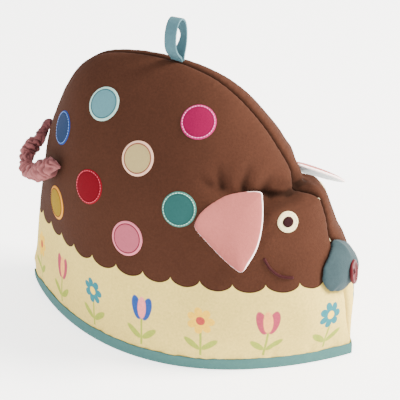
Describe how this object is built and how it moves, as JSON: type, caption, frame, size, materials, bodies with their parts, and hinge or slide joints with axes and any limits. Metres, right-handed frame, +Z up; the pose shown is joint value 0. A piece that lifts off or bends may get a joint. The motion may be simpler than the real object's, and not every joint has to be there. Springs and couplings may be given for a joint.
{
  "type": "tea cosy",
  "caption": "Padded tea cosy in the shape of a round-backed farm animal, with padded ears, a stuffed snout, a gathered tail, a hanging loop and a bound hem.",
  "frame": {"origin": "under the middle of the whole, on the plane that the bound hem stands on", "axes": "+X from the tail to the nose, +Y to the far side panel, +Z up"},
  "size_m": [0.3044, 0.19, 0.2628],
  "materials": {
    "printed_cloth": "matte cotton twill, padded",
    "blue_cloth": "matte cotton",
    "ear_cloth": "matte cotton, padded",
    "tail_cloth": "matte gathered cotton",
    "button_red": "semi-gloss"
  },
  "bodies": {
    "root": {"panel_near": "printed_cloth", "panel_far": "printed_cloth", "hem_binding": "blue_cloth", "hanging_loop": "blue_cloth", "ear_near": "ear_cloth", "ear_far": "ear_cloth", "snout": "blue_cloth", "nose_button": "button_red", "tail": "tail_cloth"}
  },
  "joints": []
}
